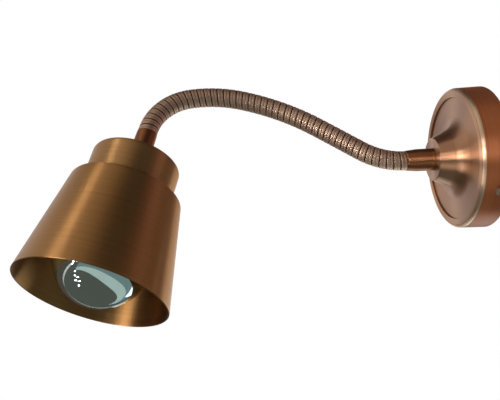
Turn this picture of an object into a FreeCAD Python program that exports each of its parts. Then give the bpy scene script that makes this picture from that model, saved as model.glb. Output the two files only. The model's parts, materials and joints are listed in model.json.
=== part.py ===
import FreeCAD, Part
import math
import os
import re
import Sketcher

# A bedside wall reading lamp: a round wall canopy, a wound gooseneck and a spun shade with its bulb.
# Frame: the origin is the middle of the canopy's wall face, +Y points into the wall, -Y into the
# room, +Z is up, and the neck lies in the plane X = 0. All sizes are in millimetres.

doc = FreeCAD.newDocument("reading_lamp")
sheet = doc.addObject("Spreadsheet::Sheet", "sizes")

SIZES = {
    # wall canopy: a drum with a lip, and a trumpet-shaped cone behind the lip
    "canopy_radius": 50.0,
    "canopy_front_radius": 49.3,
    "canopy_depth": 20.0,
    "canopy_wall": 1.2,
    "canopy_edge_round": 1.5,
    "lip_width": 6.3,
    "lip_edge_round": 0.4,
    "cone_disc_gap": 0.5,
    "cone_wall": 1.2,
    "cone_stand": 14.7,
    "cone_collar_radius": 15.0,
    "cone_collar_round": 0.4,
    "cone_angle": 25.0,
    "cone_sweep": 12.8,
    "cone_top_wall": 2.0,
    # plate on the wall, with two slots for wall screws and two ears for the side screws
    "plate_gap": 6.8,
    "plate_sheet": 1.5,
    "plate_cable_hole": 12.0,
    "slot_spacing": 60.0,
    "slot_width": 4.5,
    "slot_length": 10.0,
    "ear_width": 12.0,
    "ear_height": 13.0,
    "ear_gap": 0.8,
    "ear_root": 4.0,
    "ear_angle": -58.0,
    "side_screw_height": 8.0,
    "side_screw_radius": 1.45,
    "side_screw_tail": 3.0,
    "side_screw_head_radius": 2.75,
    "side_screw_head": 1.8,
    "side_screw_play": 0.05,
    "screw_slot": 0.8,
    # terminal block, its screws, and the earth screw
    "block_width": 28.0,
    "block_deep": 16.0,
    "block_height": 12.0,
    "block_middle": 25.0,
    "pole_pitch": 9.0,
    "pole_bore": 1.9,
    "pole_height": 5.0,
    "well_radius": 2.2,
    "well_spacing": 8.0,
    "clamp_screw_radius": 1.9,
    "clamp_screw_top": 9.5,
    "earth_screw_x": 18.0,
    "earth_screw_y": -22.0,
    "earth_screw_radius": 1.9,
    "earth_screw_inset": 0.2,
    "earth_head_radius": 3.5,
    "earth_head": 2.0,
    "earth_tag_radius": 3.6,
    "earth_tag": 0.8,
    "earth_tag_neck": 0.4,
    "earth_tag_root": 1.0,
    # threaded tubes, lock nuts and washers at both ends of the neck
    "nipple_radius": 5.0,
    "nipple_bore": 3.95,
    "nipple_seat": 8.0,
    "wall_nipple_tail": 2.0,
    "head_nipple_tail": 1.0,
    "cable_tail": 0.5,
    "thread_gap": 0.05,
    "hole_gap": 0.15,
    "nut_across": 14.0,
    "nut_height": 3.0,
    "washer_radius": 8.5,
    "washer_sheet": 0.8,
    "washer_teeth": 12.0,
    # neck: its path from the canopy to the head is a run of straights and arcs in one plane
    "wall_sleeve_length": 20.0,
    "neck_lead_in": 0.5,
    "rise_radius": 49.2,
    "rise_turn": 37.2,
    "slope_length": 34.0,
    "crest_radius": 170.0,
    "crest_turn": 20.0,
    "shoulder_radius": 88.5,
    "shoulder_turn": 24.3,
    "drop_radius": 38.0,
    "drop_turn": 64.64,
    "neck_lead_out": 2.7,
    "head_sleeve_length": 24.0,
    "wall_sleeve_radius": 7.9,
    "wall_sleeve_taper": 9.0,
    "head_sleeve_radius": 7.5,
    "head_sleeve_taper": 22.0,
    "sleeve_slim_radius": 7.0,
    "spigot_radius": 4.5,
    "spigot_length": 2.5,
    # winding: a round wire with a smaller filler wire in its outer groove, in lengths that hinge
    "neck_radius": 6.8,
    "neck_turns": 45.0,
    "length_turns": 4.25,
    "round_wire_radius": 1.05,
    "filler_wire_radius": 0.75,
    "wire_end_gap": 0.35,
    "cable_radius": 3.75,
    "cable_end_gap": 0.8,
    # leads out of the cable
    "lead_radius": 1.1,
    "head_lead_radius": 0.9,
    "core_offset": 1.7,
    "lead_grip": 4.0,
    "crimp_length": 5.0,
    "crimp_wall": 0.4,
    "earth_ring_width": 2.6,
    # shade and cap, measured from the mouth up
    "mouth_radius": 49.9,
    "shade_top_radius": 37.4,
    "shade_height": 74.0,
    "shade_wall": 1.0,
    "shade_round": 3.2,
    "cap_radius": 30.1,
    "cap_height": 25.0,
    "cap_wall": 1.0,
    "cap_round": 3.4,
    # lampholder
    "holder_radius": 19.5,
    "holder_bore": 15.3,
    "holder_below": 22.0,
    "flange_radius": 25.0,
    "flange_height": 2.5,
    "holder_spigot_radius": 17.2,
    "holder_spigot": 4.0,
    "ring_radius": 27.0,
    "ring_height": 4.0,
    "ring_gap": 0.2,
    "insert_height": 3.0,
    "dome_wall": 1.9,
    "dome_round": 4.0,
    "dome_gap": 0.3,
    "bush_height": 3.3,
    "bush_radius": 7.5,
    "terminal_offset": 9.0,
    "terminal_radius": 1.5,
    "terminal_head_radius": 2.7,
    "terminal_head": 1.5,
    "terminal_inset": 0.1,
    "strip_width": 4.0,
    "strip_sheet": 0.4,
    "strip_boss": 0.8,
    "side_strip_width": 2.8,
    "side_strip_length": 10.0,
    # screw thread shared by the bulb's base and the lampholder's shell
    "thread_pitch": 3.63,
    "thread_depth": 0.8,
    "thread_waves": 6.0,
    "base_crest_radius": 13.2,
    "base_sheet": 0.4,
    "shell_play": 0.3,
    "shell_sheet": 0.4,
    # bulb
    "bulb_radius": 31.0,
    "bulb_glass_wall": 0.8,
    "bulb_neck_radius": 11.3,
    "bulb_length": 86.0,
    "bulb_mirror_gap": 0.1,
    "bulb_mirror_sheet": 0.4,
    "bulb_mirror_rim": 4.0,
    "base_insulator": 2.7,
    "base_button": 0.8,
    "base_button_radius": 4.6,
    "base_button_crown": 3.2,
    "insulator_rim": 0.6,
    "contact_gap": 0.3,
    "stem_radius": 3.0,
    "stem_length": 20.0,
    "stem_gap": 0.1,
    "filament_ring_radius": 9.0,
    "filament_radius": 0.6,
    "filament_drop": 16.0,
}

for row, (name, value) in enumerate(SIZES.items(), start=1):
    sheet.set("A%d" % row, name)
    sheet.set("B%d" % row, str(value))
    sheet.setAlias("B%d" % row, name)
doc.recompute()

Vec = FreeCAD.Vector
WALL_AXES = FreeCAD.Rotation(Vec(1, 0, 0), 90)


def size(name):
    """One size of the sheet as a number."""
    return float(sheet.get(name))


def bound(text):
    """A formula in the sheet's names, written as the document's expressions need it."""
    return re.sub(r"[a-z][a-z_]*[a-z]", lambda m: "sizes." + m[0] if m[0] in SIZES else m[0], text)


def bind(thing, **formulas):
    """Binds properties of an object to formulas in the sheet's names."""
    for name, text in formulas.items():
        thing.setExpression(name.replace("__", "."), bound(text))
    return thing


def worth(text):
    """The value of a sum of the sheet's names."""
    return sum(size(name) for name in text.split(" + "))


nodes = []


def keep(thing, label):
    """Names a finished sub-part, which is written under that name."""
    thing.Label = label
    nodes.append(thing)
    return thing


# ---------------------------------------------------------------- ways to make a sub-part


def turned(label, frame, outline, rounds=None):
    """A body turned about its own Z from a closed outline of (radius, height) formulas.
    rounds gives an outline corner's number and the size that rounds its edge."""
    body = doc.addObject("PartDesign::Body", label + "_body")
    sketch = body.newObject("Sketcher::SketchObject", label + "_outline")
    plane = [f for f in body.Origin.OriginFeatures if f.Role == "XZ_Plane"][0]
    sketch.AttachmentSupport = [(plane, "")]
    sketch.MapMode = "FlatFace"
    count = len(outline)
    turns = [2 * math.pi * i / count for i in range(count)]
    start = [Vec(3 + math.cos(turn), math.sin(turn), 0) for turn in turns]
    for i in range(count):
        sketch.addGeometry(Part.LineSegment(start[i], start[(i + 1) % count]), False)
    for i in range(count):
        sketch.addConstraint(Sketcher.Constraint("Coincident", i, 2, (i + 1) % count, 1))
    for i, (radius, height) in enumerate(outline):
        if radius == "0":
            sketch.addConstraint(Sketcher.Constraint("PointOnObject", i, 1, -2))
        else:
            at = sketch.addConstraint(Sketcher.Constraint("DistanceX", -1, 1, i, 1, start[i].x))
            sketch.setExpression("Constraints[%d]" % at, bound(radius))
        if height == "0":
            sketch.addConstraint(Sketcher.Constraint("PointOnObject", i, 1, -1))
        else:
            at = sketch.addConstraint(Sketcher.Constraint("DistanceY", -1, 1, i, 1, start[i].y))
            sketch.setExpression("Constraints[%d]" % at, bound(height))
    turn = body.newObject("PartDesign::Revolution", label + "_turn")
    turn.Profile = sketch
    turn.ReferenceAxis = (sketch, ["V_Axis"])
    turn.Angle = 360.0
    doc.recompute()
    corners = [sketch.Geometry[i].StartPoint for i in range(count)]
    for number, radius in (rounds or {}).items():
        corner = corners[number]
        last = body.Tip
        edges = [
            "Edge%d" % (i + 1)
            for i, edge in enumerate(last.Shape.Edges)
            if isinstance(edge.Curve, Part.Circle)
            and abs(edge.Curve.Radius - corner.x) < 1e-4
            and abs(edge.Curve.Center.z - corner.y) < 1e-4
        ]
        fillet = body.newObject("PartDesign::Fillet", "%s_round_%d" % (label, number))
        fillet.Base = (last, edges)
        bind(fillet, Radius=radius)
        doc.recompute()
    body.Placement = frame
    return body


def cylinder(frame, radius, height, low="0", across="0", along="0"):
    """A cylinder from height low up, off its frame's axis by (across, along)."""
    made = doc.addObject("Part::Cylinder", "cylinder")
    bind(made, Radius=radius, Height=height)
    return put(made, frame, across, along, low)


def block(frame, width, deep, height, across, along, low):
    """A box whose middle is at (across, along), standing on height low."""
    made = doc.addObject("Part::Box", "block")
    bind(made, Length=width, Width=deep, Height=height)
    return put(
        made, frame, "(%s) - (%s) / 2" % (across, width), "(%s) - (%s) / 2" % (along, deep), low
    )


def put(made, frame, x, y, z):
    """Places a primitive at formulas for x, y and z in a frame that may be turned."""
    holder = doc.addObject("Part::Compound", "held")
    holder.Links = [made]
    bind(made, Placement__Base__x=x, Placement__Base__y=y, Placement__Base__z=z)
    holder.Placement = frame
    return holder


def fused(parts):
    """One solid out of overlapping ones."""
    made = doc.addObject("Part::MultiFuse", "fused")
    made.Shapes = parts
    made.Refine = True
    return made


def cut(base, tools):
    """The base without its tools."""
    made = doc.addObject("Part::Cut", "cut")
    made.Base = base
    made.Tool = fused(tools) if len(tools) > 1 else tools[0]
    return made


def group(parts):
    """Like pieces that stay separate solids in one sub-part."""
    made = doc.addObject("Part::Compound", "group")
    made.Links = parts
    return made


def plain(shape, label):
    """A sub-part whose shape follows a path, so it has no primitive or body of its own."""
    made = doc.addObject("Part::Feature", label)
    made.Shape = shape
    return keep(made, label)


# ---------------------------------------------------------------- the neck's path


def arc_length(radius, turn):
    return size(radius) * math.radians(size(turn))


STRAIGHT = 0.0
spans = [
    (size("wall_sleeve_length") + size("neck_lead_in"), STRAIGHT),
    (arc_length("rise_radius", "rise_turn"), size("rise_turn")),
    (size("slope_length"), STRAIGHT),
    (arc_length("crest_radius", "crest_turn"), -size("crest_turn")),
    (arc_length("shoulder_radius", "shoulder_turn"), -size("shoulder_turn")),
    (arc_length("drop_radius", "drop_turn"), -size("drop_turn")),
    (size("neck_lead_out") + size("head_sleeve_length"), STRAIGHT),
]
path_length = sum(length for length, turn in spans)
collar_height = size("canopy_depth") + size("cone_stand")


def flat(out, up):
    """A point of the neck's plane: out from the wall, and up."""
    return Vec(0, -out, up)


def along(distance):
    """Where the path is after a distance, as (point, heading in radians). Both ends run on straight."""
    point = flat(collar_height, 0)
    heading = 0.0
    left = distance
    for number, (length, turn) in enumerate(spans):
        last = number == len(spans) - 1
        step = left if last or left < length else length
        angle = 0.0 if turn == STRAIGHT else math.radians(turn) * step / length
        if angle == 0.0:
            point = point + flat(math.cos(heading), math.sin(heading)) * step
        else:
            radius = step / angle
            point = point + flat(
                radius * (math.sin(heading + angle) - math.sin(heading)),
                radius * (math.cos(heading) - math.cos(heading + angle)),
            )
        heading += angle
        left -= step
        if left <= 0 and not last:
            break
    return point, heading


def path_edges(low, high):
    """Edges of the path between two distances: straights and arcs, exactly as the path runs."""
    joints = [0.0]
    for length, turn in spans[:-1]:
        joints.append(joints[-1] + length)
    stops = [low] + [j for j in joints[1:] if low + 1e-6 < j < high - 1e-6] + [high]
    edges = []
    for a, b in zip(stops, stops[1:]):
        start, middle, end = along(a)[0], along((a + b) / 2)[0], along(b)[0]
        bent = abs(along(a)[1] - along(b)[1]) > 1e-9
        if bent:
            edges.append(Part.Arc(start, middle, end).toShape())
        else:
            edges.append(Part.LineSegment(start, end).toShape())
    return edges


def tube_along(edges, radius):
    """A round rod swept along edges that join smoothly."""
    wire = Part.Wire(edges)
    start = edges[0].valueAt(edges[0].FirstParameter)
    heading = edges[0].tangentAt(edges[0].FirstParameter)
    profile = Part.Wire([Part.Circle(start, heading, radius).toShape()])
    return wire.makePipeShell([profile], True, False)


head_end, head_heading = along(path_length)
travel = flat(math.cos(head_heading), math.sin(head_heading))
mouth = head_end + travel * (size("cap_height") + size("shade_height"))
head_tilt = math.degrees(math.atan2(-math.cos(head_heading), -math.sin(head_heading)))
WALL = FreeCAD.Placement(Vec(0, 0, 0), WALL_AXES)
HEAD = FreeCAD.Placement(mouth, FreeCAD.Rotation(Vec(1, 0, 0), head_tilt))


# ---------------------------------------------------------------- wall plate and its screws


PLATE_RADIUS = "(canopy_radius - canopy_wall - plate_gap)"
EAR_REACH = "(min(canopy_radius; canopy_front_radius) - canopy_wall - ear_gap)"


def turned_about(angle):
    return FreeCAD.Placement(Vec(0, 0, 0), FreeCAD.Rotation(Vec(0, 0, 1), angle))


def ear(angle):
    """A tab of the plate bent up along the drum's wall."""
    frame = WALL * turned_about(angle)
    root = "(%s - ear_root)" % PLATE_RADIUS
    tab = block(
        frame, "%s - %s" % (EAR_REACH, root), "ear_width", "plate_sheet",
        "(%s + %s) / 2" % (EAR_REACH, root), "0", "0",
    )
    upright = block(
        frame, "plate_sheet", "ear_width", "ear_height", "%s - plate_sheet / 2" % EAR_REACH, "0", "0"
    )
    return [tab, upright]


def slot(side):
    """A slot for one wall screw: two round ends and the middle between them."""
    middle = "%s * slot_spacing / 2" % side
    half = "(slot_length - slot_width) / 2"
    return [
        cylinder(WALL, "slot_width / 2", "plate_sheet", "0", "%s + %s" % (middle, half)),
        cylinder(WALL, "slot_width / 2", "plate_sheet", "0", "%s - %s" % (middle, half)),
        block(WALL, "slot_length - slot_width", "slot_width", "plate_sheet", middle, "0", "0"),
    ]


def sideways(angle):
    """A frame whose Z points out of the drum's side at an angle, at the side screws' height."""
    lift = FreeCAD.Placement(
        Vec(0, 0, size("side_screw_height")), FreeCAD.Rotation(Vec(0, 1, 0), 90)
    )
    return WALL * turned_about(angle) * lift


ear_angles = [size("ear_angle"), size("ear_angle") + 180]
plate = fused(
    [cylinder(WALL, PLATE_RADIUS, "plate_sheet")] + ear(ear_angles[0]) + ear(ear_angles[1])
)
plate_holes = [cylinder(WALL, "plate_cable_hole", "plate_sheet")] + slot("1") + slot("-1")
plate_holes.append(
    cylinder(
        WALL, "earth_screw_radius + thread_gap", "plate_sheet", "0", "earth_screw_x", "earth_screw_y"
    )
)
for angle in ear_angles:
    plate_holes.append(
        cylinder(sideways(angle), "side_screw_radius + thread_gap", "%s + plate_sheet" % EAR_REACH)
    )
keep(cut(plate, plate_holes), "wall_plate")


def side_screw(angle):
    """A slotted screw through the drum's side into an ear."""
    frame = sideways(angle)
    lean = "(canopy_radius - canopy_front_radius) / canopy_depth"
    seat = "(canopy_radius - %s * side_screw_height + abs(%s) * side_screw_head_radius + %s)" % (
        lean, lean, "side_screw_play",
    )
    low = "(%s - plate_sheet - side_screw_tail)" % EAR_REACH
    made = fused(
        [
            cylinder(frame, "side_screw_radius", "%s - %s" % (seat, low), low),
            cylinder(frame, "side_screw_head_radius", "side_screw_head", seat),
        ]
    )
    notch = block(
        frame, "screw_slot", "3 * side_screw_head_radius", "side_screw_head",
        "0", "0", "%s + side_screw_head / 2" % seat,
    )
    return cut(made, [notch])


keep(group([side_screw(angle) for angle in ear_angles]), "canopy_side_screws")

# ---------------------------------------------------------------- wall canopy

drum = turned(
    "canopy_drum",
    WALL,
    [
        ("canopy_radius", "0"),
        ("canopy_front_radius", "canopy_depth"),
        ("canopy_front_radius - lip_width", "canopy_depth"),
        ("canopy_front_radius - lip_width", "canopy_depth - canopy_wall"),
        ("canopy_front_radius - canopy_wall", "canopy_depth - canopy_wall"),
        ("canopy_radius - canopy_wall", "0"),
    ],
    {1: "canopy_edge_round", 2: "lip_edge_round"},
)
drum_holes = [
    cylinder(sideways(angle), "side_screw_radius + hole_gap", "1.5 * canopy_radius")
    for angle in ear_angles
]
keep(cut(drum, drum_holes), "canopy_drum")

CONE_FRONT = "canopy_depth - canopy_wall"
CONE_BACK = "canopy_depth - canopy_wall - cone_wall"
CONE_TOP = "canopy_depth + cone_stand"
CONE_UNDER_TOP = "canopy_depth + cone_stand - cone_top_wall"
CONE_DISC = "canopy_front_radius - canopy_wall - cone_disc_gap"
slant = "tan(cone_angle)"
inset = "cone_wall / cos(cone_angle)"
cone = turned(
    "canopy_cone",
    WALL,
    [
        (CONE_DISC, CONE_FRONT),
        ("cone_collar_radius + (cone_stand + canopy_wall) * %s" % slant, CONE_FRONT),
        ("cone_collar_radius", CONE_TOP),
        ("nipple_radius + hole_gap", CONE_TOP),
        ("nipple_radius + hole_gap", CONE_UNDER_TOP),
        ("cone_collar_radius + cone_top_wall * %s - %s" % (slant, inset), CONE_UNDER_TOP),
        (
            "cone_collar_radius + (cone_stand + canopy_wall + cone_wall) * %s - %s" % (slant, inset),
            CONE_BACK,
        ),
        (CONE_DISC, CONE_BACK),
    ],
    {1: "cone_sweep", 6: "cone_sweep + cone_wall", 2: "cone_collar_round"},
)
keep(cone, "canopy_cone")

# ---------------------------------------------------------------- terminal block and earth screw

terminal_block = block(
    WALL, "block_width", "block_deep", "block_height", "0", "block_middle", "plate_sheet"
)
block_tools = []
clamp_screws = []
for pole in ("-1", "0", "1"):
    across = "%s * pole_pitch" % pole
    bore = doc.addObject("Part::Cylinder", "cylinder")
    bind(bore, Radius="pole_bore", Height="2 * block_deep")
    bore_frame = WALL * FreeCAD.Placement(Vec(0, 0, 0), FreeCAD.Rotation(Vec(1, 0, 0), -90))
    block_tools.append(
        put(bore, bore_frame, across, "-plate_sheet - pole_height", "block_middle - block_deep")
    )
    for end in ("-1", "1"):
        middle = "block_middle + %s * well_spacing / 2" % end
        low = "plate_sheet + pole_height"
        block_tools.append(
            cylinder(WALL, "well_radius", "block_height", low, across, middle)
        )
        clamp_screws.append(
            cylinder(
                WALL, "clamp_screw_radius", "clamp_screw_top - pole_height - pole_bore",
                "%s + pole_bore" % low, across, middle,
            )
        )
keep(cut(terminal_block, block_tools), "terminal_block")
keep(group(clamp_screws), "terminal_screws")

earth_seat = "plate_sheet + earth_tag"
keep(
    fused(
        [
            cylinder(WALL, "earth_screw_radius", "%s - earth_screw_inset" % earth_seat,
                     "earth_screw_inset", "earth_screw_x", "earth_screw_y"),
            cylinder(WALL, "earth_head_radius", "earth_head", earth_seat,
                     "earth_screw_x", "earth_screw_y"),
        ]
    ),
    "earth_screw",
)

# ---------------------------------------------------------------- nipples, nuts, washers, sleeves


def washer(label, frame):
    """A lock washer with teeth cut round its edge."""
    blank = turned(
        label,
        frame,
        [
            ("nipple_radius + hole_gap", "0"),
            ("washer_radius", "0"),
            ("washer_radius", "washer_sheet"),
            ("nipple_radius + hole_gap", "washer_sheet"),
        ],
    )
    teeth = int(size("washer_teeth"))
    notches = []
    for number in range(teeth):
        turn = frame * turned_about(360.0 * number / teeth)
        notches.append(
            block(turn, "washer_radius / 4", "washer_radius / 5", "washer_sheet",
                  "washer_radius", "0", "0")
        )
    return keep(cut(blank, notches), label)


def lock_nut(label, frame):
    """A thin hexagon nut for the threaded tube."""
    prism = doc.addObject("Part::Prism", "prism")
    prism.Polygon = 6
    bind(prism, Circumradius="nut_across / sqrt(3)", Height="nut_height")
    prism.Placement = frame
    return keep(cut(prism, [cylinder(frame, "nipple_radius + thread_gap", "nut_height")]), label)


def sleeve(label, frame):
    """The tapered end fitting of the neck: it holds the threaded tube and enters the winding."""
    length = label + "_length"
    return keep(
        turned(
            label,
            frame,
            [
                ("nipple_radius + thread_gap", "0"),
                (label + "_radius", "0"),
                (label + "_radius", "%s - %s_taper" % (length, label)),
                ("sleeve_slim_radius", length),
                ("spigot_radius", length),
                ("spigot_radius", "%s + spigot_length" % length),
                ("nipple_bore", "%s + spigot_length" % length),
                ("nipple_bore", "nipple_seat"),
                ("nipple_radius + thread_gap", "nipple_seat"),
            ],
        ),
        label,
    )


def raised(frame, height):
    return frame * FreeCAD.Placement(Vec(0, 0, height), FreeCAD.Rotation())


def nipple(label, frame, tail):
    """The hollow threaded tube between the sleeve and what it is fixed to."""
    return keep(
        turned(
            label,
            frame,
            [
                ("nipple_bore", "0 - (%s)" % tail),
                ("nipple_radius", "0 - (%s)" % tail),
                ("nipple_radius", "nipple_seat"),
                ("nipple_bore", "nipple_seat"),
            ],
        ),
        label,
    )


under_cone = raised(WALL, collar_height - size("cone_top_wall") - size("washer_sheet"))
washer("wall_washer", under_cone)
lock_nut("wall_lock_nut", raised(under_cone, -size("nut_height")))
WALL_TAIL = "cone_top_wall + washer_sheet + nut_height + wall_nipple_tail"
nipple("wall_nipple", raised(WALL, collar_height), WALL_TAIL)
sleeve("wall_sleeve", raised(WALL, collar_height))

head_top = size("shade_height") + size("cap_height")
under_cap = raised(HEAD, head_top - size("cap_wall") - size("washer_sheet"))
washer("head_washer", under_cap)
lock_nut("head_lock_nut", raised(under_cap, -size("nut_height")))
HEAD_TAIL = "cap_wall + washer_sheet + nut_height + dome_gap + bush_height + head_nipple_tail"
nipple("head_nipple", raised(HEAD, head_top), HEAD_TAIL)
sleeve("head_sleeve", raised(HEAD, head_top))

# ---------------------------------------------------------------- neck: winding and cable

neck_start = size("wall_sleeve_length")
neck_end = path_length - size("head_sleeve_length")
turn_pitch = (neck_end - neck_start) / size("neck_turns")
hinge_count = int(size("neck_turns") / size("length_turns"))
middle_turns = (hinge_count - 1) * size("length_turns")
stub_turns = (size("neck_turns") - middle_turns) / 2
stops = [neck_start]
for number in range(hinge_count):
    stops.append(neck_start + turn_pitch * (stub_turns + number * size("length_turns")))
stops.append(neck_end)
wire_middle = size("neck_radius") - size("round_wire_radius")
filler_middle = size("neck_radius") - size("filler_wire_radius")


def helix(distance, radius, phase):
    """A point of a right-hand winding round the path, and its direction there."""
    spot, heading = along(distance)
    normal = flat(-math.sin(heading), math.cos(heading))
    angle = 2 * math.pi * (distance - stops[1]) / turn_pitch + phase
    return spot + (Vec(-1, 0, 0) * math.cos(angle) - normal * math.sin(angle)) * radius


def heading_of(distance, radius, phase):
    step = turn_pitch / 2000
    return (helix(distance + step, radius, phase) - helix(distance - step, radius, phase)).normalize()


def arc_from(start, heading, end):
    """The arc that leaves start along heading and ends at end."""
    chord = end - start
    straight = Vec(chord).normalize()
    side = heading - straight * heading.dot(straight)
    bend = math.atan2(side.Length, heading.dot(straight))
    sagitta = chord.Length / 2 * math.tan(bend / 2)
    return Part.Arc(start, (start + end) / 2 + side.normalize() * sagitta, end).toShape()


def two_arcs(a, heading_a, b, heading_b):
    """Two arcs that join a to b and leave and arrive along the headings."""
    gap = b - a
    both = heading_a + heading_b
    square = 2 * (1 - heading_a.dot(heading_b))
    reach = (-gap.dot(both) + math.sqrt(gap.dot(both) ** 2 + square * gap.dot(gap))) / square
    meet = (a + b + (heading_a - heading_b) * reach) / 2
    back = arc_from(b, heading_b * -1, meet)
    halfway = back.valueAt((back.FirstParameter + back.LastParameter) / 2)
    return [arc_from(a, heading_a, meet), Part.Arc(meet, halfway, b).toShape()]


def winding(low, high, middle, phase, wire_radius):
    """A wire wound round the path between two distances: quarter turns of two arcs each."""
    quarters = max(2, int(round(4 * (high - low) / turn_pitch)))
    at = [low + (high - low) * i / quarters for i in range(quarters + 1)]
    points = [helix(d, middle, phase) for d in at]
    headings = [heading_of(d, middle, phase) for d in at]
    edges = []
    for i in range(quarters):
        edges += two_arcs(points[i], headings[i], points[i + 1], headings[i + 1])
    profile = Part.Wire([Part.Circle(points[0], headings[0], wire_radius).toShape()])
    pipe = Part.BRepOffsetAPI.MakePipeShell(Part.Wire(edges))
    pipe.add(profile)
    pipe.build()
    pipe.makeSolid()
    return pipe.shape()


def least_gap(low, high, middle, phase, wire_radius):
    """The least gap of a wire to itself, measured between points a turn or so apart."""
    a_turn = 48
    count = int(a_turn * (high - low) / turn_pitch)
    points = [helix(low + (high - low) * i / count, middle, phase) for i in range(count + 1)]
    least = min(
        (points[i] - points[j]).Length
        for i in range(len(points))
        for j in range(i + a_turn // 2, min(i + 3 * a_turn // 2, len(points)))
    )
    return least - 2 * wire_radius


gaps = []
wire_radius = size("round_wire_radius")
filler_radius = size("filler_wire_radius")
cable_radius = size("cable_radius")
wire_cut = size("wire_end_gap") * turn_pitch / math.hypot(turn_pitch, 2 * math.pi * wire_middle)
cable_start = -worth(WALL_TAIL) - size("cable_tail")
cable_end = worth(HEAD_TAIL) + size("cable_tail")
for number, (low, high) in enumerate(zip(stops, stops[1:]), start=1):
    first, last = number == 1, number == len(stops) - 1
    wire_low = low + (wire_radius + size("wire_end_gap") if first else wire_cut)
    wire_high = high - (wire_radius + size("wire_end_gap") if last else wire_cut)
    fill_low = low + (filler_radius + size("wire_end_gap") if first else turn_pitch / 2)
    fill_high = high - (filler_radius + size("wire_end_gap") if last else turn_pitch / 2)
    wires = [
        winding(wire_low, wire_high, wire_middle, 0.0, wire_radius),
        winding(fill_low, fill_high, filler_middle, math.pi, filler_radius),
    ]
    gaps.append(least_gap(wire_low, wire_high, wire_middle, 0.0, wire_radius))
    gaps.append(least_gap(fill_low, fill_high, filler_middle, math.pi, filler_radius))
    plain(Part.makeCompound(wires), "neck_winding_%02d" % number)
    cable_low = cable_start if first else low + size("cable_end_gap")
    cable_high = path_length + cable_end if last else high - size("cable_end_gap")
    plain(tube_along(path_edges(cable_low, cable_high), cable_radius), "neck_cable_%02d" % number)
print("neck: %.1f mm long, %.2f mm a turn, %d hinges" % (neck_end - neck_start, turn_pitch, hinge_count))
print("winding: least gap of a wire to itself %.2f mm" % min(gaps))

# ---------------------------------------------------------------- leads

BEND_SHARE = 0.45  # how much of its shorter run a lead's bend takes


def lead(label, frame, corners, radius, ends=()):
    """An insulated lead through hand-set corners, each rounded as far as its two runs allow."""
    points = [Vec(*corner) for corner in corners]
    edges = []
    at = points[0]
    for before, corner, after in zip(points, points[1:], points[2:]):
        one, two = corner - before, after - corner
        turn = one.getAngle(two)
        bend = BEND_SHARE * min(one.Length, two.Length) / math.tan(turn / 2)
        back = bend * math.tan(turn / 2)
        start = corner - one.normalize() * back
        end = corner + two.normalize() * back
        middle = corner + ((start + end) / 2 - corner) * (
            bend * (1 / math.cos(turn / 2) - 1) / ((start + end) / 2 - corner).Length
        )
        print("%s: bend radius %.1f mm" % (label, bend))
        edges.append(Part.LineSegment(at, start).toShape())
        edges.append(Part.Arc(start, middle, end).toShape())
        at = end
    edges.append(Part.LineSegment(at, points[-1]).toShape())
    shape = tube_along(edges, radius)
    for end_shape in ends:
        shape = shape.fuse(end_shape)
    shape.Placement = frame
    return plain(shape, label)


def eyelet(inner, outer, sheet_height, middle):
    """The ring of a ring terminal."""
    ring_blank = Part.makeCylinder(outer, sheet_height, middle)
    return ring_blank.cut(Part.makeCylinder(inner, sheet_height, middle))


def strap(low, high, width, sheet_height, middle, heading):
    """The flat neck of a ring terminal, between two distances from its ring's middle."""
    strip = Part.makeBox(high - low, width, sheet_height, Vec(low, -width / 2, 0))
    strip.Placement = FreeCAD.Placement(middle, FreeCAD.Rotation(Vec(1, 0, 0), heading))
    return strip


core = size("core_offset")
core_height = collar_height + cable_start
pole_level = size("plate_sheet") + size("pole_height")
block_front = size("block_middle") - size("block_deep") / 2
for label, side in (("wall_lead_live", -1), ("wall_lead_neutral", 1)):
    pole_x = side * size("pole_pitch")
    lead(
        label,
        WALL,
        [
            (side * core, 0, core_height),
            (side * core, 0, core_height - 7),
            (pole_x * 0.6, 3, pole_level + 4),
            (pole_x, block_front - 6, pole_level),
            (pole_x, block_front + size("lead_grip"), pole_level),
        ],
        size("lead_radius"),
    )
tag_x, tag_y = size("earth_screw_x"), size("earth_screw_y")
tag_seat = size("plate_sheet")
outward = Vec(tag_x, tag_y, 0).normalize()
tag_middle = Vec(tag_x, tag_y, tag_seat)
tag_reach = size("earth_tag_radius") + size("earth_tag_neck") + size("lead_radius")
crimp = tag_middle - outward * (tag_reach + size("crimp_length"))
crimp.z += size("lead_radius") + size("crimp_wall")
lead_end = crimp + outward * size("crimp_length")
lead(
    "wall_lead_earth",
    WALL,
    [
        (0, -core, core_height),
        (0, -core, core_height - 7),
        (outward.x * 8, outward.y * 8, crimp.z + 5),
        crimp - outward * 4,
        lead_end,
    ],
    size("lead_radius"),
    [
        Part.makeCylinder(size("lead_radius") + size("crimp_wall"), size("crimp_length"), crimp, outward),
        strap(
            size("earth_tag_radius") - size("earth_tag_root"), tag_reach + size("lead_radius"),
            2 * size("lead_radius"), size("earth_tag"), tag_middle, outward * -1,
        ),
        eyelet(
            size("earth_screw_radius") + size("thread_gap"), size("earth_tag_radius"),
            size("earth_tag"), tag_middle,
        ),
    ],
)

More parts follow.
